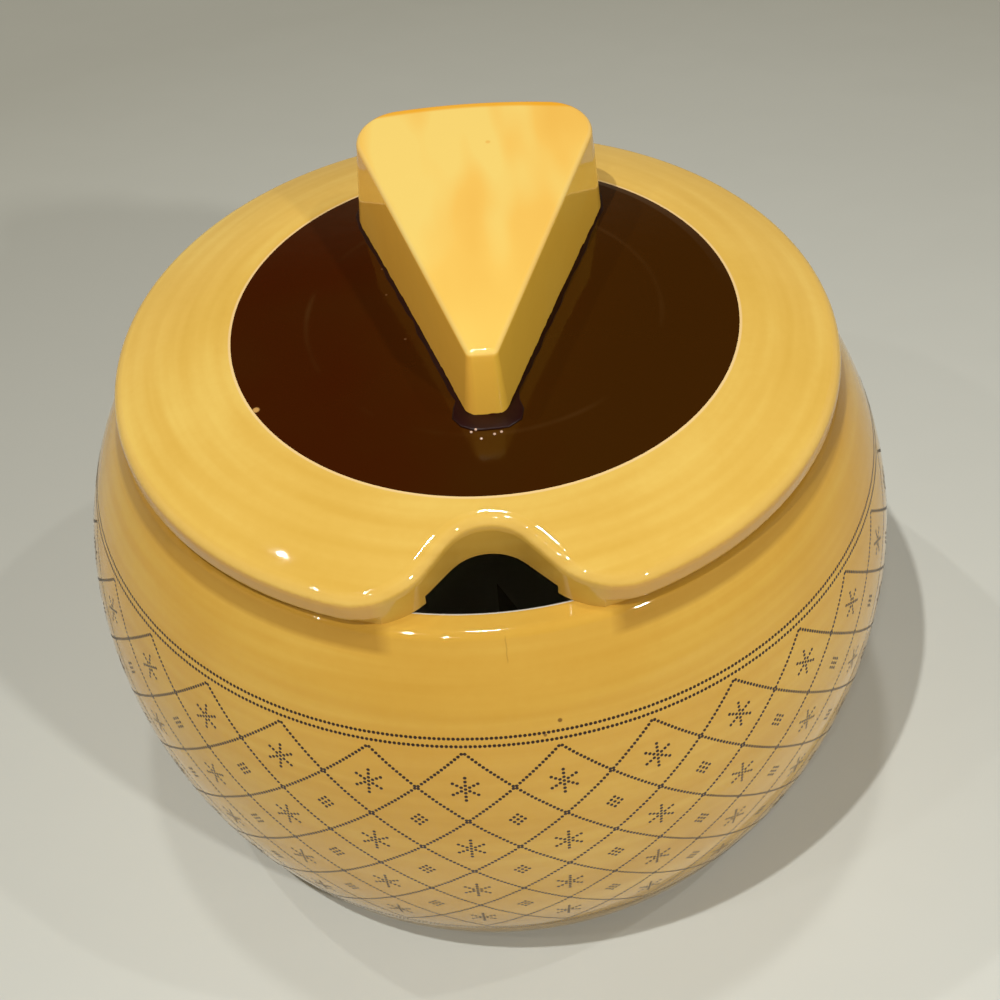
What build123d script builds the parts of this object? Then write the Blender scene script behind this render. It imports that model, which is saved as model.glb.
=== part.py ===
from build123d import *
import math
import os

# Round table jar for grated cheese: a squat slip-cast pot, a lift-off lid with a
# spoon notch in its edge, and a knob shaped like a wedge cut from a wheel of cheese.
# Millimetres, +Z up. The origin is the middle of the foot, on the table.
# The notch and the tip of the wedge point to -Y.

# pot
belly_radius = 60.0        # the widest place, outside
belly_height = 38.0        # how high the widest place is
heel_radius = 51.0         # where the lower curve would meet the table
heel_round = 7.0           # soft turn from the side into the underside
shoulder_radius = 49.6     # outside of the rim, level with its top
rim_height = 70.5          # top of the rim, where the lid rests
rim_width = 3.8            # rim, from outside to inside
rim_outer_round = 1.7
rim_inner_round = 1.2
mouth_land = 3.4           # the mouth is straight this far down, for the lid's flange
mouth_round = 2.5          # soft turn below the straight part
wall = 4.4                 # clay and glaze at the belly
floor_thickness = 4.4
floor_round = 8.5          # inside corner between floor and side
foot_ring_width = 12.0     # bare ring that stands on the table, heel corner to hollow
foot_recess = 1.6          # the underside is hollowed inside the ring
foot_round = 0.7

# lid
lid_overhang = 0.4         # the lid's edge stands out past the pot's shoulder
lid_edge_lift = 0.6        # and is this clear of it, outside the seat
lid_edge_thickness = 3.6
lid_edge_round = 2.0       # top of the edge, and the lip of the notch
lid_under_round = 0.9      # underside of the edge, round the lobes too
lid_thickness = 6.1        # plate, in the middle
seat_margin = 0.8          # the seat ends this far inside the pot's shoulder
flange_gap = 0.9           # loose fit of the flange in the mouth, each side
flange_width = 4.2
flange_depth = 3.6         # below the seat
flange_round = 1.2
under_rise = 1.2           # the underside domes up by this much in the middle

# thick brown glaze in the middle of the lid
border_width = 15.3        # yellow border, from the lid's edge to the brown field
field_rise = 7.8           # the field's edge is this far above the rim
field_thickness = 0.6      # of the glaze, at its edge
field_crown = 0.8          # the middle stands this much above the edge
field_slope = 5.0          # degrees, slope of the lid where it leaves the field
field_gap = 0.04
set_over = 1.5             # the field and the knob were set by hand, a little to one side

# spoon notch
notch_radius = 6.2         # arch
notch_bridge = 1.6         # yellow glaze left between the notch's lip and the field
notch_splay = 41.0         # degrees, how far each side opens out
notch_aside = -0.8         # cut by hand, a little to one side
lobe_round = 10.0          # corners where the notch meets the lid's edge
flange_break = 13.0        # the flange stops this far from the middle of the notch

# wedge knob
knob_tip_gap = 13.7        # from the front of the field to the blunt tip
knob_back_gap = 2.4        # from the middle of the rind side to the back of the field
knob_back_width = 41.0     # before the corners are rounded
knob_tip_width = 5.0
knob_rind_bulge = 2.6      # the rind side bows out
knob_tip_height = 10.2     # above the edge of the field
knob_back_height = 14.2
knob_taper = 5.0           # degrees, the sides lean in to leave the mould
knob_turn = -2.3           # degrees, as it was set by hand
knob_corner_round = 7.8
knob_tip_round = 1.8
knob_top_round = 0.9

mouth_radius = shoulder_radius - rim_width
floor_height = foot_recess + floor_thickness
foot_hollow = heel_radius - foot_ring_width
lid_radius = shoulder_radius + lid_overhang
lid_edge_low = rim_height + lid_edge_lift
lid_edge_top = lid_edge_low + lid_edge_thickness
seat_outer = shoulder_radius - seat_margin
flange_outer = mouth_radius - flange_gap
flange_inner = flange_outer - flange_width
flange_bottom = rim_height - flange_depth
field_radius = lid_radius - border_width
field_height = rim_height + field_rise
field_seat = field_height - field_thickness
crown_height = field_height + field_crown
notch_reach = border_width - notch_bridge - lid_edge_round
same_place = 0.01          # edges are told apart by this much


def near(sketch, x, y):
    """the corner of a section that lies nearest to one point"""
    return sketch.vertices().sort_by_distance((x, y, 0))[0]


def on_lip(edge):
    """true for the upper edge of the lid's rim and of the notch in it"""
    points = [edge @ 0, edge @ 0.5, edge @ 1]
    low = min(p.Z for p in points)
    inner = min(math.hypot(p.X, p.Y) for p in points)
    return low > lid_edge_top - same_place and inner > lid_radius - notch_reach - lid_edge_round


def under_rim(edge):
    """true for the lower edge of the lid's rim, from lobe to lobe"""
    middle = edge @ 0.5
    level = abs(middle.Z - lid_edge_low) < same_place
    return level and math.hypot(middle.X, middle.Y) > lid_radius - same_place


# The pot is one wall turned about Z. Two arcs that leave the belly upright
# make the outside, and two more, one wall in, make the inside.
with BuildPart() as pot:
    with BuildSketch(Plane.XZ) as pot_section:
        with BuildLine():
            Line((0, foot_recess), (foot_hollow, foot_recess))
            Line((foot_hollow, foot_recess), (foot_hollow, 0))
            Line((foot_hollow, 0), (heel_radius, 0))
            TangentArc((belly_radius, belly_height), (heel_radius, 0), tangent=(0, -1))
            TangentArc((belly_radius, belly_height), (shoulder_radius, rim_height), tangent=(0, 1))
            Line((shoulder_radius, rim_height), (mouth_radius, rim_height))
            land_low = rim_height - mouth_land
            Line((mouth_radius, rim_height), (mouth_radius, land_low))
            inside = belly_radius - wall
            TangentArc((inside, belly_height), (mouth_radius, land_low), tangent=(0, 1))
            TangentArc((inside, belly_height), (heel_radius - wall, floor_height), tangent=(0, -1))
            Line((heel_radius - wall, floor_height), (0, floor_height))
            Line((0, floor_height), (0, foot_recess))
        make_face()
        fillet(near(pot_section, heel_radius, 0), heel_round)
        fillet(near(pot_section, heel_radius - wall, floor_height), floor_round)
        fillet(near(pot_section, shoulder_radius, rim_height), rim_outer_round)
        fillet(near(pot_section, mouth_radius, rim_height), rim_inner_round)
        fillet(near(pot_section, mouth_radius, land_low), mouth_round)
        fillet(near(pot_section, foot_hollow, 0), foot_round)
        fillet(near(pot_section, foot_hollow, foot_recess), foot_round)
    revolve(axis=Axis.Z)
pot.part.label = "jar_body"

# The lid before its notch and its brown field: a plate with a crowned top,
# a rounded edge, a seat that rests on the rim and a flange inside the mouth.
with BuildPart() as lid:
    with BuildSketch(Plane.XZ) as lid_section:
        with BuildLine():
            TangentArc((0, crown_height), (field_radius, field_height), tangent=(1, 0))
            slope = math.radians(field_slope)
            TangentArc(
                (field_radius, field_height),
                (lid_radius, lid_edge_top),
                tangent=(math.cos(slope), -math.sin(slope)),
            )
            Line((lid_radius, lid_edge_top), (lid_radius, lid_edge_low))
            Line((lid_radius, lid_edge_low), (seat_outer, lid_edge_low))
            Line((seat_outer, lid_edge_low), (seat_outer, rim_height))
            Line((seat_outer, rim_height), (flange_outer, rim_height))
            Line((flange_outer, rim_height), (flange_outer, flange_bottom))
            Line((flange_outer, flange_bottom), (flange_inner, flange_bottom))
            under_centre = crown_height - lid_thickness
            under_edge = under_centre - under_rise
            Line((flange_inner, flange_bottom), (flange_inner, under_edge))
            TangentArc((0, under_centre), (flange_inner, under_edge), tangent=(1, 0))
            Line((0, under_centre), (0, crown_height))
        make_face()
        fillet(near(lid_section, flange_outer, flange_bottom), flange_round)
        fillet(near(lid_section, flange_inner, flange_bottom), flange_round)
        fillet(near(lid_section, flange_inner, under_edge), flange_round)
    revolve(axis=Axis.Z)

    # the flange is left out beside the notch, up to the underside of the plate
    clear_below = flange_bottom - flange_depth
    with BuildSketch(Plane.XY.offset(clear_below)):
        Circle(flange_outer)
        with Locations((notch_aside, -flange_outer)):
            Rectangle(2 * flange_break, flange_outer, mode=Mode.INTERSECT)
    extrude(amount=under_edge - clear_below, mode=Mode.SUBTRACT)

    # an arch with splayed sides, cut straight down through the plate
    notch_centre = notch_reach - notch_radius - lid_radius
    splay = math.radians(notch_splay)
    spring_x = notch_radius * math.cos(splay)
    spring_y = notch_centre + notch_radius * math.sin(splay)
    run = notch_reach + notch_radius
    mouth_x = spring_x + run * math.sin(splay)
    mouth_y = spring_y - run * math.cos(splay)
    with BuildSketch(Plane.XY.offset(clear_below)):
        with Locations((notch_aside, notch_centre)):
            Circle(notch_radius)
        with Locations((notch_aside, 0)):
            Polygon(
                (spring_x, spring_y), (mouth_x, mouth_y),
                (-mouth_x, mouth_y), (-spring_x, spring_y), align=None,
            )
    extrude(amount=crown_height, mode=Mode.SUBTRACT)

    # lobes first, so that the lid's edge and the notch become one smooth line
    lobes = lid.edges().filter_by(Axis.Z).filter_by(
        lambda e: math.hypot(e.center().X, e.center().Y) > seat_outer + seat_margin / 2
    )
    fillet(lobes, lobe_round)
    fillet(lid.edges().filter_by(under_rim), lid_under_round)
    fillet(lid.edges().filter_by(on_lip), lid_edge_round)
lid_blank = lid.part

# The brown glaze is thick enough to feel. It fills a seat of its own in the
# top of the lid, and closes round the foot of the knob.
with BuildPart() as field:
    with BuildSketch(Plane.XY.offset(field_seat)):
        with Locations((set_over, 0)):
            Circle(field_radius - field_gap)
    extrude(amount=field_crown + 2 * field_thickness)
    add(lid_blank, mode=Mode.INTERSECT)

with BuildPart() as seat:
    with BuildSketch(Plane.XY.offset(field_seat)):
        with Locations((set_over, 0)):
            Circle(field_radius)
    extrude(amount=field_crown + 2 * field_thickness)


def wedge_plan(grow):
    """outline of the cheese wedge, tip towards -Y, larger all round by grow"""
    half_tip = knob_tip_width / 2
    half_back = knob_back_width / 2
    tip = knob_tip_gap - field_radius
    back = field_radius - knob_back_gap
    chord = back - knob_rind_bulge
    with BuildSketch(Plane.XY.offset(field_seat)) as plan:
        with BuildLine():
            Polyline((-half_back, chord), (-half_tip, tip), (half_tip, tip), (half_back, chord))
            ThreePointArc((half_back, chord), (0, back), (-half_back, chord))
        make_face()
        fillet(plan.vertices().group_by(Axis.Y)[-1], knob_corner_round)
        fillet(plan.vertices().group_by(Axis.Y)[0], knob_tip_round)
        if grow:
            offset(amount=grow)
    return plan.sketch.rotate(Axis.Z, knob_turn).translate((set_over, 0, 0))


# The top slopes down a little from the rind side to the tip.
with BuildPart() as knob:
    add(wedge_plan(0))
    extrude(amount=2 * knob_back_height, taper=knob_taper)
    knob_run = 2 * field_radius - knob_tip_gap - knob_back_gap
    pitch = math.atan2(knob_back_height - knob_tip_height, knob_run)
    top = Plane(
        origin=(set_over, knob_tip_gap - field_radius, field_height + knob_tip_height),
        z_dir=(0, -math.sin(pitch), math.cos(pitch)),
    )
    split(bisect_by=top, keep=Keep.BOTTOM)
    fillet(knob.faces().sort_by(Axis.Z)[-1].edges(), knob_top_round)
knob.part.label = "wedge_knob"

with BuildPart() as cut_field:
    add(field.part)
    add(wedge_plan(field_gap))
    extrude(amount=field_crown + 2 * field_thickness, mode=Mode.SUBTRACT)
cut_field.part.label = "glaze_field"

with BuildPart() as cut_lid:
    add(lid_blank)
    add(seat.part, mode=Mode.SUBTRACT)
cut_lid.part.label = "lid"

os.makedirs("parts", exist_ok=True)
export_step(pot.part, "parts/jar_body.step")
export_step(cut_lid.part, "parts/lid.step")
export_step(knob.part, "parts/wedge_knob.step")
export_step(cut_field.part, "parts/glaze_field.step")
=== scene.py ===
import math

import bpy
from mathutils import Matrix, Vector, noise
from mathutils.bvhtree import BVHTree


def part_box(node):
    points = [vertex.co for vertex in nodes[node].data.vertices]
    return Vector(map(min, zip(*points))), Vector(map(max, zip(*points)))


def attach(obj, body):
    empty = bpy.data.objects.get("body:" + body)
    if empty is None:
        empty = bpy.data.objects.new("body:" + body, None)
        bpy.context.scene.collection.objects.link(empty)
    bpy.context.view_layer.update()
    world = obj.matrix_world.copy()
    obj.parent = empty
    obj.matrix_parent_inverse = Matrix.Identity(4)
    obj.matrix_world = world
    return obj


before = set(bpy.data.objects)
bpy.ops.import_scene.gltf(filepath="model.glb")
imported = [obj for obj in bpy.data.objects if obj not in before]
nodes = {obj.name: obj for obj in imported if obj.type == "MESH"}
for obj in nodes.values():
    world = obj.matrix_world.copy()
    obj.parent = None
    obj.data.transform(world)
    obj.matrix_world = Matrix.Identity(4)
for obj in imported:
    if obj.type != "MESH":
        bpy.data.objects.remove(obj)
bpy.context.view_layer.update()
mm = 0.001
noiseLow, noiseHigh = 0.3, 0.7   # nearly all values of a noise lie between these
rayStart = 0.2   # metres, well outside every piece


def toLinear(hexColour):
    # sRGB hex to the linear values that the shaders work in
    channels = [int(hexColour[i:i + 2], 16) / 255 for i in (1, 3, 5)]
    return [c / 12.92 if c <= 0.04045 else ((c + 0.055) / 1.055) ** 2.4 for c in channels] + [1]


def addNode(tree, kind, inputs=None, **settings):
    # adds one node, sets it up and links or fills its inputs
    node = tree.nodes.new("ShaderNode" + kind)
    for name, value in settings.items():
        setattr(node, name, value)
    for name, value in (inputs or {}).items():
        if hasattr(value, "outputs"):
            value = value.outputs[0]
        if isinstance(value, bpy.types.NodeSocket):
            tree.links.new(value, node.inputs[name])
        else:
            node.inputs[name].default_value = value
    return node


def newMaterial(name):
    # an empty material with its tree, ready for nodes
    material = bpy.data.materials.new(name)
    material.use_nodes = True
    material.node_tree.nodes.clear()
    return material, material.node_tree


def finishMaterial(tree, colour, roughness, normal, ior):
    # one coat over colour: glassy on the glazes, nearly without gloss on the cloth
    shader = addNode(tree, "BsdfPrincipled", {
        "Base Color": colour, "Roughness": roughness, "IOR": ior,
    })
    if normal is not None:
        tree.links.new(normal.outputs[0], shader.inputs["Normal"])
    addNode(tree, "OutputMaterial", {"Surface": shader.outputs[0]})


def layOver(tree, colour, mask, hexColour, amount=1.0):
    # lays one more colour over what is there, as much as the mask and the amount say
    cover = addNode(tree, "Math", {0: mask, 1: amount}, operation="MULTIPLY")
    over = addNode(tree, "Mix", {
        "Factor": cover, 6: colour, 7: toLinear(hexColour),
    }, data_type="RGBA")
    return over.outputs[2]


def turnedPlace(tree, middleX=0.0):
    # where a point is on something turned about Z, in millimetres: all of it, its
    # coordinates, its distance from the axis and the direction in which it lies
    place = addNode(tree, "TexCoord").outputs["Object"]
    inMm = addNode(tree, "VectorMath", {0: place, 1: (-middleX, 0, 0)}, operation="ADD")
    inMm = addNode(tree, "VectorMath", {0: inMm, 3: 1 / mm}, operation="SCALE")
    parts = addNode(tree, "SeparateXYZ", {0: inMm})
    flat = addNode(tree, "CombineXYZ", {0: parts.outputs[0], 1: parts.outputs[1]})
    radius = addNode(tree, "VectorMath", {0: flat}, operation="LENGTH").outputs["Value"]
    around = addNode(tree, "VectorMath", {0: flat}, operation="NORMALIZE")
    return inMm, parts, radius, around


def band(tree, value, low, high, soft):
    # 1 where the value lies from low to high, with soft ends
    rise = addNode(tree, "MapRange", {0: value, 1: low - soft, 2: low, 3: 0.0, 4: 1.0})
    fall = addNode(tree, "MapRange", {0: value, 1: high, 2: high + soft, 3: 1.0, 4: 0.0})
    return addNode(tree, "Math", {0: rise, 1: fall}, operation="MULTIPLY")


def spots(tree, place, colour, marks):
    # small marks from the kiln: x, y, z and radius in millimetres, and a colour
    core, strength = 0.6, 0.85   # how much of a mark is full, and how full it is
    for x, y, z, size, hexColour in marks:
        away = addNode(tree, "VectorMath", {0: place, 1: (x, y, z)}, operation="DISTANCE")
        mask = addNode(tree, "MapRange", {
            0: away.outputs["Value"], 1: size * core, 2: size, 3: 1.0, 4: 0.0,
        })
        colour = layOver(tree, colour, mask, hexColour, strength)
    return colour


# Earthenware under a transparent yellow glaze, brushed on while the piece turned on
# the wheel. It gives the eye a warm yellow with faint paler arcs that run round the
# piece, small glassy highlights that ripple, and a few iron specks.
yellowGlaze = {
    "streakAcross": 2.3,     # mm from one brush mark to the next
    "streakAlong": 1.3,      # marks about a third of a turn long
    "cloudSize": 24.0,       # mm, slow change of thickness
    "cloudShare": 0.5,       # of the cloud, against the brush marks
    "grainSize": 1.3,        # mm, fine mottling
    "grainShare": 0.10,
    "rippleSize": 4.5,       # mm, unevenness that shows only in the highlights
    "rippleDepth": 0.030,    # mm
    "speckSpacing": 9.0,     # mm
    "speckRadius": 0.15,     # mm
    "speckShare": 0.13,      # of the places that could hold a speck
    "speck": "#8A5A1E",
    "ior": 1.52,
    "roughness": (0.035, 0.065),
}


def coatColour(tree, thinness, tones):
    # the tones run from the thick to the thin coat
    ramp = addNode(tree, "ValToRGB", {0: thinness})
    stops = ramp.color_ramp.elements
    while len(stops) < len(tones):
        stops.new(0.5)
    for stop, (position, tone) in zip(stops, tones):
        stop.position = position
        stop.color = toLinear(tone)
    return ramp.outputs[0]


def glassyCoat(tree, place, glaze):
    # roughness and normal of the glaze: smooth, with a slow ripple
    low, high = glaze["roughness"]
    cloud = addNode(tree, "TexNoise", {
        "Vector": place, "Scale": 1 / glaze["cloudSize"], "Detail": 1.0,
    })
    roughness = addNode(tree, "MapRange", {
        0: cloud.outputs["Fac"], 1: noiseLow, 2: noiseHigh, 3: low, 4: high,
    })
    ripple = addNode(tree, "TexNoise", {
        "Vector": place, "Scale": 1 / glaze["rippleSize"], "Detail": 2.0, "Roughness": 0.45,
    })
    normal = addNode(tree, "Bump", {
        "Strength": 1.0, "Distance": glaze["rippleDepth"] * mm, "Height": ripple.outputs["Fac"],
    })
    return roughness, normal


def ironSpecks(tree, place, colour):
    # iron specks in the clay that burnt through, only here and there
    glaze = yellowGlaze
    cell = addNode(tree, "TexVoronoi", {"Vector": place, "Scale": 1 / glaze["speckSpacing"]})
    near = addNode(tree, "Math", {
        0: cell.outputs["Distance"], 1: glaze["speckRadius"] / glaze["speckSpacing"],
    }, operation="LESS_THAN")
    chosen = addNode(tree, "SeparateColor", {0: cell.outputs["Color"]})
    chosen = addNode(tree, "Math", {
        0: chosen.outputs[0], 1: glaze["speckShare"],
    }, operation="LESS_THAN")
    mask = addNode(tree, "Math", {0: near, 1: chosen}, operation="MULTIPLY")
    return layOver(tree, colour, mask, glaze["speck"])


def brushedYellow(tree, tones, place, parts, radius, around):
    # colour of the yellow glaze on a turned piece, streaked round its axis
    glaze = yellowGlaze
    across = addNode(tree, "Math", {0: parts.outputs[2], 1: radius}, operation="SUBTRACT")
    across = addNode(tree, "Math", {0: across, 1: glaze["streakAcross"]}, operation="DIVIDE")
    along = addNode(tree, "VectorMath", {0: around, 3: glaze["streakAlong"]}, operation="SCALE")
    lift = addNode(tree, "CombineXYZ", {2: across})
    streakPlace = addNode(tree, "VectorMath", {0: along, 1: lift}, operation="ADD")
    streak = addNode(tree, "TexNoise", {
        "Vector": streakPlace, "Scale": 1.0, "Detail": 2.0, "Roughness": 0.4,
    })
    cloud = addNode(tree, "TexNoise", {
        "Vector": place, "Scale": 1 / glaze["cloudSize"], "Detail": 2.0, "Roughness": 0.5,
    })
    grain = addNode(tree, "TexNoise", {
        "Vector": place, "Scale": 1 / glaze["grainSize"], "Detail": 2.0,
    })
    coat = addNode(tree, "Mix", {
        "Factor": glaze["cloudShare"], "A": streak.outputs["Fac"], "B": cloud.outputs["Fac"],
    }, data_type="FLOAT")
    coat = addNode(tree, "Mix", {
        "Factor": glaze["grainShare"], "A": coat, "B": grain.outputs["Fac"],
    }, data_type="FLOAT")
    return ironSpecks(tree, place, coatColour(tree, coat, tones))


potGlaze = {
    "tones": [(0.34, "#D1A13D"), (0.50, "#D6A845"), (0.66, "#DCB24F")],
    "insideWhite": "#EFEBDD",
    "bareClay": "#D8C5A6",
    "bareRoughness": 0.85,
    "bareHeight": 0.35,      # mm, of the wiped ring that touches the table
    "paintedFootShade": "#8A7244",   # painted shade: darker and greyer towards the foot
    "paintedFootShadeHeights": (3.0, 20.0),   # mm, where it is greyest and where that ends
    "paintedFootShadeShare": 0.75,
    "inward": -0.35,         # walls that face the axis more than this are inside,
    "insideFrom": 5.0,       # mm, above this
    "upward": 0.5,           # and so is what faces up more than this,
    "floorBelow": 40.0,      # mm, below this
    "paintedShadeUnderLid": "#8A5F1C",   # painted shade: a darker line on the pot just below the lid's edge
    "paintedShadeUnderLidShare": 0.5,
    "paintedShadeUnderLidHeights": (68.4, 70.6, 0.7),   # mm: from, to and softness
    "notchHalf": (13.0, 15.0),   # mm, none of it in the notch
    "crack": "#8C6424",      # a hair crack in the glaze below the notch
    "crackShare": 0.3,
    "crackAt": 0.45,         # mm, x
    "crackHeights": (67.2, 70.2),   # mm
    "crackFade": 0.4,        # mm, at both ends
    "crackHalf": 0.06,       # mm, half its width
    "crackSoft": 0.05,       # mm
    "crackWander": 0.12,     # mm
    "crackWaves": 0.9,       # per mm
    "marks": [
        (6.1, -55.2, 59.8, 0.35, "#6B4310"),
        (4.2, -56.1, 58.2, 0.28, "#7A5218"),
    ],
}


def potMaterial():
    # yellow outside with painted shade below the lid and towards the foot, white tin glaze inside,
    # and a wiped, bare ring under the foot
    material, tree = newMaterial("brushed yellow glaze on slip-cast earthenware, pot")
    place, parts, radius, around = turnedPlace(tree)
    colour = brushedYellow(tree, potGlaze["tones"], place, parts, radius, around)
    roughness, normal = glassyCoat(tree, place, yellowGlaze)
    height = parts.outputs[2]
    colour = spots(tree, place, colour, potGlaze["marks"])

    # painted shade below the lid's edge, but not in the notch
    toneBand = band(tree, height, *potGlaze["paintedShadeUnderLidHeights"])
    aside = addNode(tree, "Math", {0: parts.outputs[0]}, operation="ABSOLUTE")
    notchHalf, clearOfNotch = potGlaze["notchHalf"]
    aside = addNode(tree, "MapRange", {0: aside, 1: notchHalf, 2: clearOfNotch})
    behind = addNode(tree, "Math", {0: parts.outputs[1], 1: 0.0}, operation="GREATER_THAN")
    aside = addNode(tree, "Math", {0: aside, 1: behind}, operation="MAXIMUM")
    toneBand = addNode(tree, "Math", {0: toneBand, 1: aside}, operation="MULTIPLY")
    colour = layOver(tree, colour, toneBand, potGlaze["paintedShadeUnderLid"], potGlaze["paintedShadeUnderLidShare"])

    # the hair crack wanders a little and fades out at both ends
    wander = addNode(tree, "TexNoise", {
        "Vector": place, "Scale": potGlaze["crackWaves"], "Detail": 2.0,
    })
    drift = potGlaze["crackWander"]
    wander = addNode(tree, "MapRange", {0: wander.outputs["Fac"], 3: -drift, 4: drift})
    crackX = addNode(tree, "Math", {0: parts.outputs[0], 1: wander}, operation="ADD")
    crackAt, half = potGlaze["crackAt"], potGlaze["crackHalf"]
    line = band(tree, crackX, crackAt - half, crackAt + half, potGlaze["crackSoft"])
    crackLow, crackHigh = potGlaze["crackHeights"]
    fade = potGlaze["crackFade"]
    reach = band(tree, height, crackLow + fade, crackHigh - fade, fade)
    front = addNode(tree, "Math", {0: parts.outputs[1], 1: 0.0}, operation="LESS_THAN")
    crack = addNode(tree, "Math", {0: line, 1: reach}, operation="MULTIPLY")
    crack = addNode(tree, "Math", {0: crack, 1: front}, operation="MULTIPLY")
    colour = layOver(tree, colour, crack, potGlaze["crack"], potGlaze["crackShare"])

    # white on the walls inside and on the floor between them
    facing = addNode(tree, "TexCoord").outputs["Normal"]
    outward = addNode(tree, "VectorMath", {0: facing, 1: around}, operation="DOT_PRODUCT")
    outward = outward.outputs["Value"]
    inward = addNode(tree, "Math", {0: outward, 1: potGlaze["inward"]}, operation="LESS_THAN")
    above = addNode(tree, "Math", {0: height, 1: potGlaze["insideFrom"]}, operation="GREATER_THAN")
    walls = addNode(tree, "Math", {0: inward, 1: above}, operation="MULTIPLY")
    upward = addNode(tree, "SeparateXYZ", {0: facing}).outputs[2]
    level = addNode(tree, "Math", {0: upward, 1: potGlaze["upward"]}, operation="GREATER_THAN")
    low = addNode(tree, "Math", {0: height, 1: potGlaze["floorBelow"]}, operation="LESS_THAN")
    floorMask = addNode(tree, "Math", {0: level, 1: low}, operation="MULTIPLY")
    inside = addNode(tree, "Math", {0: walls, 1: floorMask}, operation="MAXIMUM")
    colour = layOver(tree, colour, inside, potGlaze["insideWhite"])

    # painted shade, darker and greyer towards the foot, and bare where it touches the table
    greyest, clear = potGlaze["paintedFootShadeHeights"]
    outside = addNode(tree, "Math", {0: outward, 1: 0.0}, operation="GREATER_THAN")
    paintedFootShade = addNode(tree, "MapRange", {0: height, 1: greyest, 2: clear, 3: 1.0, 4: 0.0})
    paintedFootShade = addNode(tree, "Math", {0: paintedFootShade, 1: outside}, operation="MULTIPLY")
    colour = layOver(tree, colour, paintedFootShade, potGlaze["paintedFootShade"], potGlaze["paintedFootShadeShare"])
    foot = addNode(tree, "Math", {0: height, 1: potGlaze["bareHeight"]}, operation="LESS_THAN")
    colour = layOver(tree, colour, foot, potGlaze["bareClay"])
    roughness = addNode(tree, "Mix", {
        "Factor": foot, "A": roughness, "B": potGlaze["bareRoughness"],
    }, data_type="FLOAT")
    finishMaterial(tree, colour, roughness, normal, yellowGlaze["ior"])
    return material


lidGlaze = {
    "tones": [(0.34, "#E0B551"), (0.50, "#E6BD5A"), (0.66, "#EDC967")],
    "thin": "#FFE09A",       # over the rolled edges the glaze runs thin and pale
    "thinShare": 0.1,
    "thinUpward": (0.50, 0.80, 0.12),   # how far they face up: from, to and softness
    "edge": "#C08A45",       # painted shade on the outer side of the edge
    "edgeShare": 0.6,
    "sideUpward": (-0.30, 0.25, 0.2),   # how far the sides face up
    "paintedNotchShade": "#A9822C",  # painted shade: the notch's walls darker and olive
    "paintedNotchShadeShare": 0.45,
    "notchReach": (48.2, 49.2),   # mm from the axis, the notch's sides lie nearer
    "fieldLine": "#FBDDAE",  # a pale line where the yellow stops at the brown
    "fieldLineShare": 0.55,
    "fieldLineBand": (-0.2, 0.3),   # mm, from the edge of the brown field
    "fieldLineSoft": 0.15,   # mm
    "underWhite": "#EFEBDD",
    "underUpward": -0.9,     # what faces down more than this is white,
    "whiteBelow": 70.4,      # mm, and so is the flange
    "marks": [(-34.0, -20.0, 77.0, 0.22, "#B98A3C")],
}


def lidMaterial():
    # yellow above and over the edge, with painted shade on its sides, white glaze underneath
    material, tree = newMaterial("brushed yellow glaze on slip-cast earthenware, lid")
    place, parts, radius, around = turnedPlace(tree)
    colour = brushedYellow(tree, lidGlaze["tones"], place, parts, radius, around)
    roughness, normal = glassyCoat(tree, place, yellowGlaze)
    facing = addNode(tree, "TexCoord").outputs["Normal"]
    upward = addNode(tree, "SeparateXYZ", {0: facing}).outputs[2]
    rolled = band(tree, upward, *lidGlaze["thinUpward"])
    colour = layOver(tree, colour, rolled, lidGlaze["thin"], lidGlaze["thinShare"])

    # the sides: painted shade on the outer edge and on the olive walls of the notch
    side = band(tree, upward, *lidGlaze["sideUpward"])
    notchReach, edgeFrom = lidGlaze["notchReach"]
    outer = addNode(tree, "MapRange", {0: radius, 1: notchReach, 2: edgeFrom})
    edge = addNode(tree, "Math", {0: side, 1: outer}, operation="MULTIPLY")
    colour = layOver(tree, colour, edge, lidGlaze["edge"], lidGlaze["edgeShare"])
    paintedWallShade = addNode(tree, "Math", {0: side, 1: outer}, operation="SUBTRACT", use_clamp=True)
    colour = layOver(tree, colour, paintedWallShade, lidGlaze["paintedNotchShade"], lidGlaze["paintedNotchShadeShare"])

    # the pale line round the brown field
    fieldLow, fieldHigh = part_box("glaze_field")
    middle = (fieldLow[0] + fieldHigh[0]) / 2 / mm
    fieldRadius = (fieldHigh[0] - fieldLow[0]) / 2 / mm
    flat = addNode(tree, "CombineXYZ", {0: parts.outputs[0], 1: parts.outputs[1]})
    away = addNode(tree, "VectorMath", {0: flat, 1: (middle, 0, 0)}, operation="DISTANCE")
    lineStart, lineEnd = (fieldRadius + end for end in lidGlaze["fieldLineBand"])
    line = band(tree, away.outputs["Value"], lineStart, lineEnd, lidGlaze["fieldLineSoft"])
    colour = layOver(tree, colour, line, lidGlaze["fieldLine"], lidGlaze["fieldLineShare"])
    colour = spots(tree, place, colour, lidGlaze["marks"])

    ceiling = addNode(tree, "Math", {
        0: upward, 1: lidGlaze["underUpward"],
    }, operation="LESS_THAN")
    flange = addNode(tree, "Math", {
        0: parts.outputs[2], 1: lidGlaze["whiteBelow"],
    }, operation="LESS_THAN")
    under = addNode(tree, "Math", {0: ceiling, 1: flange}, operation="MAXIMUM")
    colour = layOver(tree, colour, under, lidGlaze["underWhite"])
    finishMaterial(tree, colour, roughness, normal, yellowGlaze["ior"])
    return material


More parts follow.
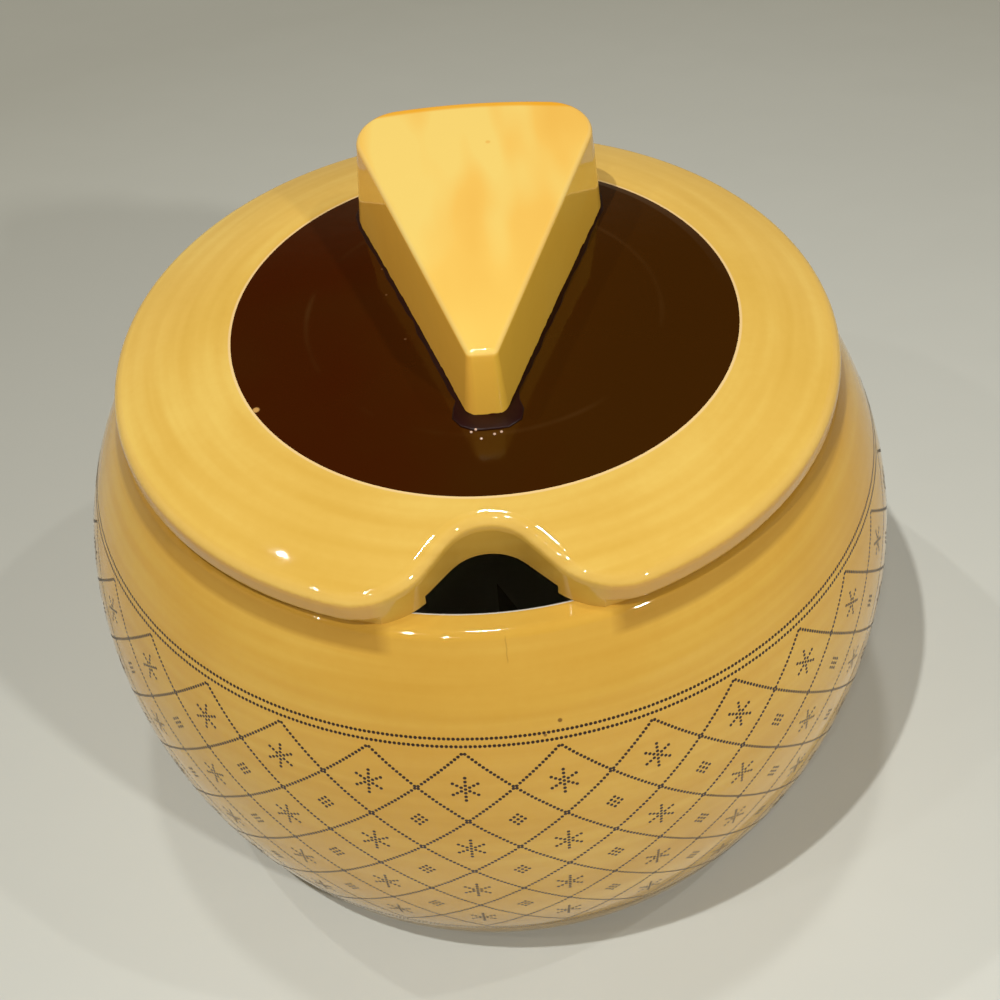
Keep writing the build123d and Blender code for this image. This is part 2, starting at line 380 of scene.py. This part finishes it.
knobGlaze = {
    "tones": [(0.36, "#F3BF57"), (0.50, "#F7C861"), (0.64, "#F7D776")],
    "patchSize": (8.0, 26.0, 8.0),   # mm, lighter patches drawn out towards the tip
    "tipTone": "#FFD96E",    # paler towards the tip, where the glaze ran off
    "tipShare": 0.65,
    "tipFrom": (6.0, -16.0),   # mm, y
    "paintedSideLightTones": ("#FFC24A", "#EDBE42"),   # painted light and shade: left and right of the wedge, the left lit brighter
    "paintedSideLightShare": 0.85,
    "sideUpward": (0.2, 0.5),   # how far they face up, from full to none
    "sideTurn": 0.5,         # how far they face right where the right one is full
    "thin": "#FFE7A6",       # over the rolled edges
    "thinShare": 0.15,
    "thinUpward": (0.45, 0.85, 0.1),   # how far they face up: from, to and softness
    "rind": "#F2A81A",       # a deeper orange on the rind side and along its upper edge
    "rindShare": 0.9,
    "rindBackward": (0.15, 0.5),   # how far it faces back, from none to full
    "rindMiddle": (-0.5, -49.8, 0.0),   # mm, the middle of the rind's curve
    "rindBand": (79.6, 83.0, 0.5),   # mm from there, along the edge
    "rindBandShare": 0.8,
    "rindBandUpward": 0.3,   # it faces up more than this
    "footTone": "#4A1408",   # the brown that has run up its foot
    "footHeight": 0.10,      # mm above the brown field that its glaze climbs
    "footSoft": 0.1,         # mm
    "footWander": 0.30,      # mm
    "footWaves": 0.6,        # per mm
    "fieldCrown": 0.8,       # mm, the field is this much higher in its middle
    "marks": [(4.3, 21.2, 91.7, 0.42, "#F0BE5E")],
}


def knobMaterial():
    # a brighter, more even coat of the same yellow, dipped and not brushed; the brown
    # has run up its foot in an uneven line
    material, tree = newMaterial("dipped yellow glaze on cast earthenware, wedge")
    place, parts, radius, _ = turnedPlace(tree)
    stretched = addNode(tree, "VectorMath", {
        0: place, 1: [1 / size for size in knobGlaze["patchSize"]],
    }, operation="MULTIPLY")
    patches = addNode(tree, "TexNoise", {
        "Vector": stretched, "Scale": 1.0, "Detail": 1.5, "Roughness": 0.4,
    })
    colour = coatColour(tree, patches.outputs["Fac"], knobGlaze["tones"])
    colour = ironSpecks(tree, place, colour)
    roughness, normal = glassyCoat(tree, place, yellowGlaze)
    facing = addNode(tree, "SeparateXYZ", {0: addNode(tree, "TexCoord").outputs["Normal"]})
    upward, backward = facing.outputs[2], facing.outputs[1]
    tipStart, tipFull = knobGlaze["tipFrom"]
    towardsTip = addNode(tree, "MapRange", {
        0: parts.outputs[1], 1: tipFull, 2: tipStart, 3: 1.0, 4: 0.0,
    })
    colour = layOver(tree, colour, towardsTip, knobGlaze["tipTone"], knobGlaze["tipShare"])

    # the two sides, each with painted light of its own: the left lit brighter than the right
    fullSide, noSide = knobGlaze["sideUpward"]
    sides = addNode(tree, "MapRange", {
        0: upward, 1: fullSide, 2: noSide, 3: knobGlaze["paintedSideLightShare"], 4: 0.0,
    })
    leftTone, rightTone = knobGlaze["paintedSideLightTones"]
    sideTurn = knobGlaze["sideTurn"]
    rightward = addNode(tree, "MapRange", {0: facing.outputs[0], 1: -sideTurn, 2: sideTurn})
    paintedSideLight = addNode(tree, "Mix", {
        "Factor": rightward, 6: toLinear(leftTone), 7: toLinear(rightTone),
    }, data_type="RGBA").outputs[2]
    colour = addNode(tree, "Mix", {
        "Factor": sides, 6: colour, 7: paintedSideLight,
    }, data_type="RGBA").outputs[2]
    rolled = band(tree, upward, *knobGlaze["thinUpward"])
    colour = layOver(tree, colour, rolled, knobGlaze["thin"], knobGlaze["thinShare"])

    # the rind side and the edge above it
    noRind, fullRind = knobGlaze["rindBackward"]
    behind = addNode(tree, "MapRange", {0: backward, 1: noRind, 2: fullRind})
    colour = layOver(tree, colour, behind, knobGlaze["rind"], knobGlaze["rindShare"])
    flat = addNode(tree, "CombineXYZ", {0: parts.outputs[0], 1: parts.outputs[1]})
    away = addNode(tree, "VectorMath", {
        0: flat, 1: knobGlaze["rindMiddle"],
    }, operation="DISTANCE").outputs["Value"]
    toneBand = band(tree, away, *knobGlaze["rindBand"])
    above = addNode(tree, "Math", {
        0: upward, 1: knobGlaze["rindBandUpward"],
    }, operation="GREATER_THAN")
    toneBand = addNode(tree, "Math", {0: toneBand, 1: above}, operation="MULTIPLY")
    colour = layOver(tree, colour, toneBand, knobGlaze["rind"], knobGlaze["rindBandShare"])
    colour = spots(tree, place, colour, knobGlaze["marks"])

    # how high a point is above the crowned field, for the brown line at the foot
    fieldLow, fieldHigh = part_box("glaze_field")
    fieldRadius = (fieldHigh[0] - fieldLow[0]) / 2 / mm
    bow = addNode(tree, "Math", {0: radius, 1: fieldRadius}, operation="DIVIDE")
    bow = addNode(tree, "Math", {0: bow, 1: 2.0}, operation="POWER")
    bow = addNode(tree, "Math", {0: bow, 1: knobGlaze["fieldCrown"]}, operation="MULTIPLY")
    lift = addNode(tree, "Math", {0: parts.outputs[2], 1: bow}, operation="ADD")
    lift = addNode(tree, "Math", {0: lift, 1: fieldHigh[2] / mm}, operation="SUBTRACT")
    uneven = addNode(tree, "TexNoise", {
        "Vector": place, "Scale": knobGlaze["footWaves"], "Detail": 3.0,
    })
    uneven = addNode(tree, "MapRange", {
        0: uneven.outputs["Fac"], 1: noiseLow, 2: noiseHigh, 3: 0.0, 4: knobGlaze["footWander"],
    })
    lift = addNode(tree, "Math", {0: lift, 1: uneven}, operation="SUBTRACT")
    climb = knobGlaze["footHeight"]
    footMask = addNode(tree, "MapRange", {
        0: lift, 1: climb - knobGlaze["footSoft"], 2: climb, 3: 1.0, 4: 0.0,
    })
    colour = layOver(tree, colour, footMask, knobGlaze["footTone"])
    finishMaterial(tree, colour, roughness, normal, yellowGlaze["ior"])
    return material


brownGlaze = {
    "redder": "#3D1602",
    "olive": "#3C2003",
    "cast": (-0.25, 0.75),   # how olive it is at the left and at the right,
    "castWidth": 40.0,       # mm, over this width, and the cloud is added to it
    "cloudSize": 17.0,       # mm
    "ring": "#52361A",
    "paintedHighlightRingShare": 0.35,
    "ringAt": 0.70,          # of the field's radius, where the painted highlight ring lies
    "ringWidth": 0.1,        # mm
    "ringSoft": 0.5,         # mm
    "ringBreaks": (0.42, 0.62),   # values of the cloud, from no ring to the full ring
    "rippleSize": 2.2,       # mm
    "rippleDepth": 0.012,    # mm, fine unevenness of the thick coat
    "ior": 1.5,
    "roughness": (0.06, 0.12),
    "chip": (-29.05, -15.57, 78.38, 0.55, "#D9A860"),
    "marks": [
        (-12.2, 11.1, 78.9, 0.2, "#6A4A30"),
        (-11.7, 5.1, 79.0, 0.2, "#6A4A30"),
        (-9.3, -4.8, 79.0, 0.22, "#6A4A30"),
    ],
}


def brownMaterial():
    # manganese-brown glaze, trailed on thick: nearly black with a red and an olive
    # cast, glossy, and with a faint, broken ring of painted highlight
    material, tree = newMaterial("trailed manganese-brown glaze")
    low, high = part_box("glaze_field")
    place, parts, radius, _ = turnedPlace(tree, (low[0] + high[0]) / 2)
    fieldRadius = (high[0] - low[0]) / 2 / mm
    cloud = addNode(tree, "TexNoise", {
        "Vector": place, "Scale": 1 / brownGlaze["cloudSize"], "Detail": 3.0, "Roughness": 0.5,
    })
    half = brownGlaze["castWidth"] / 2
    redCast, oliveCast = brownGlaze["cast"]
    cast = addNode(tree, "MapRange", {
        0: parts.outputs[0], 1: -half, 2: half, 3: redCast, 4: oliveCast,
    })
    cast = addNode(tree, "Math", {
        0: cast, 1: cloud.outputs["Fac"],
    }, operation="ADD", use_clamp=True)
    colour = addNode(tree, "Mix", {
        "Factor": cast, 6: toLinear(brownGlaze["redder"]), 7: toLinear(brownGlaze["olive"]),
    }, data_type="RGBA").outputs[2]
    # painted highlight: a faint, broken lighter ring
    ringStart = fieldRadius * brownGlaze["ringAt"]
    ringEnd = ringStart + brownGlaze["ringWidth"]
    ring = band(tree, radius, ringStart, ringEnd, brownGlaze["ringSoft"])
    noRing, fullRing = brownGlaze["ringBreaks"]
    broken = addNode(tree, "MapRange", {0: cloud.outputs["Fac"], 1: noRing, 2: fullRing})
    ring = addNode(tree, "Math", {0: ring, 1: broken}, operation="MULTIPLY")
    colour = layOver(tree, colour, ring, brownGlaze["ring"], brownGlaze["paintedHighlightRingShare"])
    onLid = turnedPlace(tree)[0]
    colour = spots(tree, onLid, colour, brownGlaze["marks"] + [brownGlaze["chip"]])
    roughness, normal = glassyCoat(tree, place, brownGlaze)
    finishMaterial(tree, colour, roughness, normal, brownGlaze["ior"])
    return material


def surfaceTree(piece):
    # the surface of a node or piece, for casting rays at
    points = [piece.matrix_world @ v.co for v in piece.data.vertices]
    return BVHTree.FromPolygons(points, [p.vertices[:] for p in piece.data.polygons])


def topUnder(trees, x, y):
    # the highest point that a ray from above meets
    down = Vector((0, 0, -1))
    hits = [tree.ray_cast(Vector((x, y, rayStart)), down)[0] for tree in trees]
    return max((hit for hit in hits if hit), key=lambda hit: hit.z)


def newPiece(name, points, faces, material, body, smooth):
    # one closed mesh that rides with its body
    mesh = bpy.data.meshes.new(name)
    mesh.from_pydata(points, [], faces)
    mesh.validate()
    for polygon in mesh.polygons:
        polygon.use_smooth = smooth
    piece = bpy.data.objects.new(name, mesh)
    bpy.context.collection.objects.link(piece)
    piece.data.materials.append(material)
    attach(piece, body)
    print(name + ":", len(points), "points,", len(faces), "faces")
    return piece


# On-glaze enamel, printed as dots and fired: it stands a hair above the glaze.
# A net of lozenges round the belly, with a rosette or a small diamond in each.
ornament = {
    "repeats": 30,           # lozenges round the belly
    "rows": 4,               # of them, from border to border
    "low": 9.5 * mm,         # height of the lower border
    "high": 58.5 * mm,       # and of the upper one
    "pitch": 0.62 * mm,      # from dot to dot
    "dotRadius": 0.25 * mm,
    "dotLift": 0.012 * mm,   # the rim of a dot, above the glaze
    "dotRise": 0.035 * mm,   # its middle
    "dotSink": 0.06 * mm,    # its root in the glaze
    "dotSides": 6,
    "borderGap": 1.1 * mm,   # between the two lines of a border
    "borderMargin": 0.9 * mm,   # from a border to the net
    "arms": 6,               # of a rosette
    "armDots": 3,
    "diamondPitch": 0.75,    # of the pitch, from dot to dot in a diamond
    "colour": "#241204",
    "worn": "#3C230C",
    "wearSize": 3 * mm,
    "roughness": 0.28,
    "ior": 1.5,
}


def enamelMaterial():
    # dark brown enamel, a little duller than the glaze under it
    material, tree = newMaterial("fired dark brown enamel print")
    place = addNode(tree, "TexCoord").outputs["Object"]
    wear = addNode(tree, "TexNoise", {
        "Vector": place, "Scale": 1 / ornament["wearSize"], "Detail": 2.0,
    }).outputs["Fac"]
    colour = addNode(tree, "Mix", {
        "Factor": wear, 6: toLinear(ornament["colour"]), 7: toLinear(ornament["worn"]),
    }, data_type="RGBA").outputs[2]
    finishMaterial(tree, colour, ornament["roughness"], None, ornament["ior"])
    return material


class PotSide:
    # the pot's outside, found on the CAD mesh, measured by arc length up the side
    samples = 90

    def __init__(self, low, high):
        self.tree = surfaceTree(nodes["jar_body"])
        self.heights = [low + (high - low) * i / self.samples for i in range(self.samples + 1)]
        self.lengths = [0.0]
        last = None
        for height in self.heights:
            hit = self.hit(0.0, height)[0]
            if last is not None:
                self.lengths.append(self.lengths[-1] + (hit - last).length)
            last = hit
        self.total = self.lengths[-1]

    def hit(self, angle, height):
        out = Vector((math.cos(angle), math.sin(angle), 0))
        return self.tree.ray_cast(out * rayStart + Vector((0, 0, height)), -out)[:2]

    def at(self, angle, length):
        length = min(max(length, 0), self.total)
        for i in range(self.samples):
            if length <= self.lengths[i + 1]:
                step = (length - self.lengths[i]) / (self.lengths[i + 1] - self.lengths[i])
                height = self.heights[i] + step * (self.heights[i + 1] - self.heights[i])
                return self.hit(angle, height)
        return self.hit(angle, self.heights[-1])


def ornamentDots(side):
    # (angle, length up the side) of every dot of the net, its motifs and its borders
    o = ornament
    rosette = [(0, 0)]
    for arm in range(o["arms"]):
        turn = 2 * math.pi * (arm + 0.5) / o["arms"]
        for k in range(1, o["armDots"] + 1):
            rosette.append((k * o["pitch"] * math.cos(turn), k * o["pitch"] * math.sin(turn)))
    step = o["pitch"] * o["diamondPitch"]
    diamond = [((i + j) * step, (i - j) * step) for i in (-1, 0, 1) for j in (-1, 0, 1)]
    dots = []
    halfTurn = math.pi / o["repeats"]
    netLow = o["borderGap"] + o["borderMargin"]
    halfHeight = (side.total - 2 * netLow) / (2 * o["rows"])
    belly = max(abs(c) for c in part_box("jar_body")[1][:2])
    across = math.hypot(halfTurn * belly, halfHeight)
    perSide = round(across / o["pitch"])
    for row in range(2 * o["rows"]):
        for column in range(2 * o["repeats"]):
            lean = 1 if (row + column) % 2 == 0 else -1
            start = column if lean == 1 else column + 1
            for k in range(perSide):
                t = (k + 0.5) / perSide
                dots.append(((start + lean * t) * halfTurn, netLow + (row + t) * halfHeight))
    for row in range(1, 2 * o["rows"]):
        for column in range(2 * o["repeats"]):
            if (row + column) % 2 == 0:
                continue
            motif = rosette if row % 2 else diamond
            for x, y in motif:
                dots.append((column * halfTurn + x / belly, netLow + row * halfHeight + y))
    around = round(2 * math.pi * belly / o["pitch"])
    for line in (0, 1):
        for length in (line * o["borderGap"], side.total - line * o["borderGap"]):
            for k in range(around):
                dots.append((2 * math.pi * (k + line / 2) / around, length))
    return dots


def dottedOrnament():
    # every dot is a low closed dome with its root in the glaze
    o = ornament
    side = PotSide(o["low"], o["high"])
    points, faces = [], []
    sides = o["dotSides"]
    for angle, length in ornamentDots(side):
        place, normal = side.at(angle, length)
        east = Vector((-math.sin(angle), math.cos(angle), 0))
        up = normal.cross(east).normalized()
        first = len(points)
        for k in range(sides):
            turn = 2 * math.pi * k / sides
            ring = east * math.cos(turn) + up * math.sin(turn)
            points.append(place + ring * o["dotRadius"] + normal * o["dotLift"])
        points.append(place + normal * o["dotRise"])
        points.append(place - normal * o["dotSink"])
        for k in range(sides):
            after = first + (k + 1) % sides
            faces.append((first + k, after, first + sides))
            faces.append((after, first + k, first + sides + 1))
    newPiece("dotted_ornament", points, faces, enamelMaterial(), "jar", False)


# The brown glaze pooled along the foot of the wedge when it was luted on, widest at
# the tip.
pool = {
    "steps": 260,            # round the foot
    "sides": 12,             # round its section
    "reach": 0.45 * mm,      # half its width
    "wander": 0.25 * mm,     # how far that varies,
    "wanderSize": 2.5 * mm,  # over this length
    "atTip": 1.9 * mm,       # how much wider it is at the tip,
    "tipReach": 3.4 * mm,    # from this far behind it
    "flat": 0.06,            # its height to its width
    "outward": 0.25,         # of half its width, how far its middle is from the foot
    "traceHeight": 0.2 * mm,   # above the field, where the foot's outline is taken
    "traceFrom": 100 * mm,   # from the wedge's middle, where those rays start
    "groundOut": 0.6 * mm,   # beside the foot, where the field's height is taken
    "roughness": (0.3, 0.4),
    "ior": 1.35,
    "colour": "#2A0705",
    "deeper": "#170302",
    "deeperSize": 2.5,       # mm, clouds of the deeper colour
}


def poolMaterial():
    # the same brown where it is thickest: a dark maroon, duller than the field
    material, tree = newMaterial("pooled manganese-brown glaze")
    place = turnedPlace(tree)[0]
    cloud = addNode(tree, "TexNoise", {
        "Vector": place, "Scale": 1 / pool["deeperSize"], "Detail": 2.0,
    }).outputs["Fac"]
    colour = addNode(tree, "Mix", {
        "Factor": cloud, 6: toLinear(pool["colour"]), 7: toLinear(pool["deeper"]),
    }, data_type="RGBA").outputs[2]
    duller = {**brownGlaze, "roughness": pool["roughness"]}
    roughness, normal = glassyCoat(tree, place, duller)
    finishMaterial(tree, colour, roughness, normal, pool["ior"])
    return material


def pooledGlaze(material):
    # a flat, closed film that follows the foot of the wedge and swells at its tip
    wedge, field = surfaceTree(nodes["wedge_knob"]), surfaceTree(nodes["glaze_field"])
    low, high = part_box("wedge_knob")
    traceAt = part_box("glaze_field")[1][2] + pool["traceHeight"]
    middle = Vector(((low[0] + high[0]) / 2, (low[1] + high[1]) / 2, traceAt))
    outline = []
    for i in range(pool["steps"]):
        turn = 2 * math.pi * i / pool["steps"]
        out = Vector((math.cos(turn), math.sin(turn), 0))
        outline.append(wedge.ray_cast(middle + out * pool["traceFrom"], -out)[0])
    points, faces = [], []
    count, sides = pool["steps"], pool["sides"]
    for i, place in enumerate(outline):
        along = (outline[(i + 1) % count] - outline[i - 1]).normalized()
        out = Vector((along.y, -along.x, 0))
        tip = max(0.0, 1 - (place.y - low[1]) / pool["tipReach"])
        wander = pool["wander"] * noise.noise(place / pool["wanderSize"])
        size = pool["reach"] + wander + pool["atTip"] * tip
        beside = place + out * pool["groundOut"]
        ground = topUnder([field], beside.x, beside.y).z
        centre = Vector((place.x, place.y, ground)) + out * size * pool["outward"]
        for k in range(sides):
            turn = 2 * math.pi * k / sides
            rise = Vector((0, 0, size * pool["flat"] * math.sin(turn)))
            points.append(centre + out * size * math.cos(turn) + rise)
    for i in range(count):
        here, there = i * sides, (i + 1) % count * sides
        for k in range(sides):
            after = (k + 1) % sides
            faces.append((here + k, here + after, there + after, there + k))
    return newPiece("pooled_glaze", points, faces, material, "lid", True)


# A few bubbles that rose in the brown, burst and healed, in front of the tip.
bubbles = {
    "places": [(-1.5, -23.7), (-0.9, -23.4), (-0.3, -25.0), (1.4, -24.4), (2.3, -24.1)],
    "radius": 0.2 * mm,
    "height": 0.8,           # of the radius
    "root": 0.5,             # radians that the lowest ring leans down into the glaze
    "rings": 4,
    "sides": 12,
    # painted highlight: the blisters' pale colour
    "colour": "#D9B9A6",
    "roughness": 0.1,
}


def bubbleMaterial():
    # thin skins of glaze over air; their pale colour is a painted highlight standing in for the
    # glints on them
    material, tree = newMaterial("healed blisters in brown glaze, painted highlight")
    colour = toLinear(bubbles["colour"])
    finishMaterial(tree, colour, bubbles["roughness"], None, brownGlaze["ior"])
    return material


def healedBubbles(material, pooled):
    # each is a small closed dome on the brown
    under = [surfaceTree(nodes["glaze_field"]), surfaceTree(pooled)]
    points, faces = [], []
    rings, sides = bubbles["rings"], bubbles["sides"]
    size, height = bubbles["radius"], bubbles["height"]
    for x, y in bubbles["places"]:
        place = topUnder(under, x * mm, y * mm)
        first = len(points)
        for r in range(rings):
            lean = math.pi / 2 * r / rings if r else -bubbles["root"]
            wide, high = math.cos(lean), math.sin(lean) * height
            for k in range(sides):
                turn = 2 * math.pi * k / sides
                points.append(place + size * Vector((
                    wide * math.cos(turn), wide * math.sin(turn), high,
                )))
        crown, root, lastRing = first + rings * sides, first + rings * sides + 1, rings - 1
        points.append(place + Vector((0, 0, size * height)))
        points.append(place - Vector((0, 0, size)))
        for k in range(sides):
            after = (k + 1) % sides
            for ring in range(first, first + lastRing * sides, sides):
                faces.append((ring + k, ring + after, ring + after + sides, ring + k + sides))
            top = first + lastRing * sides
            faces.append((top + k, top + after, crown))
            faces.append((first + after, first + k, root))
    newPiece("healed_bubbles", points, faces, material, "lid", True)


for nodeName, material in (
    ("jar_body", potMaterial()),
    ("lid", lidMaterial()),
    ("wedge_knob", knobMaterial()),
    ("glaze_field", brownMaterial()),
):
    for materialSlot in nodes[nodeName].material_slots:
        materialSlot.material = material
print("glazes: done")

dottedOrnament()
pooled = pooledGlaze(poolMaterial())
healedBubbles(bubbleMaterial(), pooled)

studio = {
    "floorColour": "#D7DAD4",
    "paintedFloorShade": "#ABABA0",
    "paleMiddle": (0.03, -0.10, 0.0),   # metres, where the cloth is palest
    "shadeFrom": 0.05,       # metres from there, where the painted shade begins
    "shadeTo": 0.34,
    "floorSize": 1.6,        # metres
    "floorDrop": 0.02 * mm,  # below the foot
    "foldSize": 60 * mm,     # soft unevenness of the cloth
    "foldDepth": 1.2 * mm,
    "clothRoughness": 0.95,
    "clothIor": 1.3,
    "horizon": "#A8987C",
    "overhead": "#12110F",
    "horizonTop": (0.36, 0.58),   # sine of the elevation, from pale to dark
    "background": "#C6C2B7",
    "lampHeight": 0.07,      # metres, what the lamps point at
}
# each lamp: azimuth from the front, positive to the right, and elevation, in degrees,
# and its distance and size in metres
lamps = {
    "mainLamp": {"azimuth": -44, "elevation": 68, "away": 1.0, "size": 0.020, "watts": 4.4},
    "frontRightLamp": {"azimuth": 40, "elevation": 32, "away": 1.0, "size": 0.050, "watts": 3.3},
    "overheadLamp": {"azimuth": -168, "elevation": 81, "away": 1.0, "size": 0.070, "watts": 1.4},
    "backLeftLamp": {"azimuth": -114, "elevation": 61, "away": 1.0, "size": 0.018, "watts": 1.0},
    "leftLamp": {"azimuth": -62, "elevation": 50, "away": 1.0, "size": 0.022, "watts": 0.4},
    "frontLeftLamp": {"azimuth": -18, "elevation": 52, "away": 1.0, "size": 0.024, "watts": 0.5},
    "rightLamp": {"azimuth": 84, "elevation": 58, "away": 1.0, "size": 0.022, "watts": 0.8},
}
lampColour = "#FFFDF9"


def clothMaterial():
    # plain cotton without gloss: pale and softly uneven, with painted shade that
    # deepens away from the jar; its threads are too fine to show
    material, tree = newMaterial("plain woven pale cotton")
    place = addNode(tree, "TexCoord").outputs["Object"]
    away = addNode(tree, "VectorMath", {
        0: place, 1: studio["paleMiddle"],
    }, operation="DISTANCE").outputs["Value"]
    # painted shade, deeper away from the jar
    shade = addNode(tree, "MapRange", {
        0: away, 1: studio["shadeFrom"], 2: studio["shadeTo"], 3: 0.0, 4: 1.0,
    })
    colour = addNode(tree, "Mix", {
        "Factor": shade, 6: toLinear(studio["floorColour"]), 7: toLinear(studio["paintedFloorShade"]),
    }, data_type="RGBA").outputs[2]
    folds = addNode(tree, "TexNoise", {
        "Vector": place, "Scale": 1 / studio["foldSize"], "Detail": 3.0, "Roughness": 0.55,
    })
    normal = addNode(tree, "Bump", {
        "Distance": studio["foldDepth"], "Height": folds.outputs["Fac"],
    })
    finishMaterial(tree, colour, studio["clothRoughness"], normal, studio["clothIor"])
    return material


def makeWorld():
    # pale near the horizon, dark overhead, and an even pale background for the camera
    world = bpy.data.worlds.new("studio")
    bpy.context.scene.world = world
    world.use_nodes = True
    tree = world.node_tree
    tree.nodes.clear()
    towards = addNode(tree, "TexCoord").outputs["Generated"]
    upward = addNode(tree, "SeparateXYZ", {0: towards}).outputs[2]
    pale, dark = studio["horizonTop"]
    dim = addNode(tree, "MapRange", {
        0: upward, 1: pale, 2: dark, 3: 0.0, 4: 1.0,
    }, interpolation_type="SMOOTHSTEP")
    around = addNode(tree, "Mix", {
        "Factor": dim, 6: toLinear(studio["horizon"]), 7: toLinear(studio["overhead"]),
    }, data_type="RGBA").outputs[2]
    seen = addNode(tree, "LightPath").outputs["Is Camera Ray"]
    colour = layOver(tree, around, seen, studio["background"])
    background = addNode(tree, "Background", {"Color": colour, "Strength": 1.0})
    addNode(tree, "OutputWorld", {"Surface": background.outputs[0]})


def makeLamps():
    # small soft lamps: their reflections are the small highlights in the glaze
    target = Vector((0, 0, studio["lampHeight"]))
    for name, lamp in lamps.items():
        light = bpy.data.lights.new(name, "AREA")
        light.shape = "DISK"
        light.size = lamp["size"]
        light.energy = lamp["watts"]
        light.color = toLinear(lampColour)[:3]
        turn, rise = math.radians(lamp["azimuth"]), math.radians(lamp["elevation"])
        level = math.cos(rise)
        toLamp = Vector((level * math.sin(turn), -level * math.cos(turn), math.sin(rise)))
        holder = bpy.data.objects.new(name, light)
        holder.location = target + toLamp * lamp["away"]
        holder.rotation_euler = (-toLamp).to_track_quat("-Z", "Y").to_euler()
        bpy.context.collection.objects.link(holder)


def makeFloor():
    below = (0, 0, -studio["floorDrop"])
    bpy.ops.mesh.primitive_plane_add(size=studio["floorSize"], location=below)
    floor = bpy.context.active_object
    floor.name = "floor"
    floor.data.materials.append(clothMaterial())


cameraSetup = {
    "place": (0.0, -0.1606, 0.2088),
    "aim": (0.00165, 0.0, 0.04126),
    "roll": -4.717,          # degrees
    "lens": 54.0,
    "sensor": 36.0,
    "clipFrom": 0.01,        # metres
}


def makeCamera():
    # the photograph's view, from above and in front of the notch
    data = bpy.data.cameras.new("camera")
    data.lens = cameraSetup["lens"]
    data.sensor_width = cameraSetup["sensor"]
    data.clip_start = cameraSetup["clipFrom"]
    camera = bpy.data.objects.new("camera", data)
    place = Vector(cameraSetup["place"])
    look = (Vector(cameraSetup["aim"]) - place).to_track_quat("-Z", "Y").to_matrix().to_4x4()
    camera.matrix_world = look
    camera.location = place
    camera.rotation_euler.rotate_axis("Z", math.radians(cameraSetup["roll"]))
    bpy.context.collection.objects.link(camera)
    bpy.context.scene.camera = camera


makeFloor()
makeWorld()
makeLamps()
makeCamera()
bpy.context.scene.view_settings.view_transform = "Standard"
print("studio and camera: done")
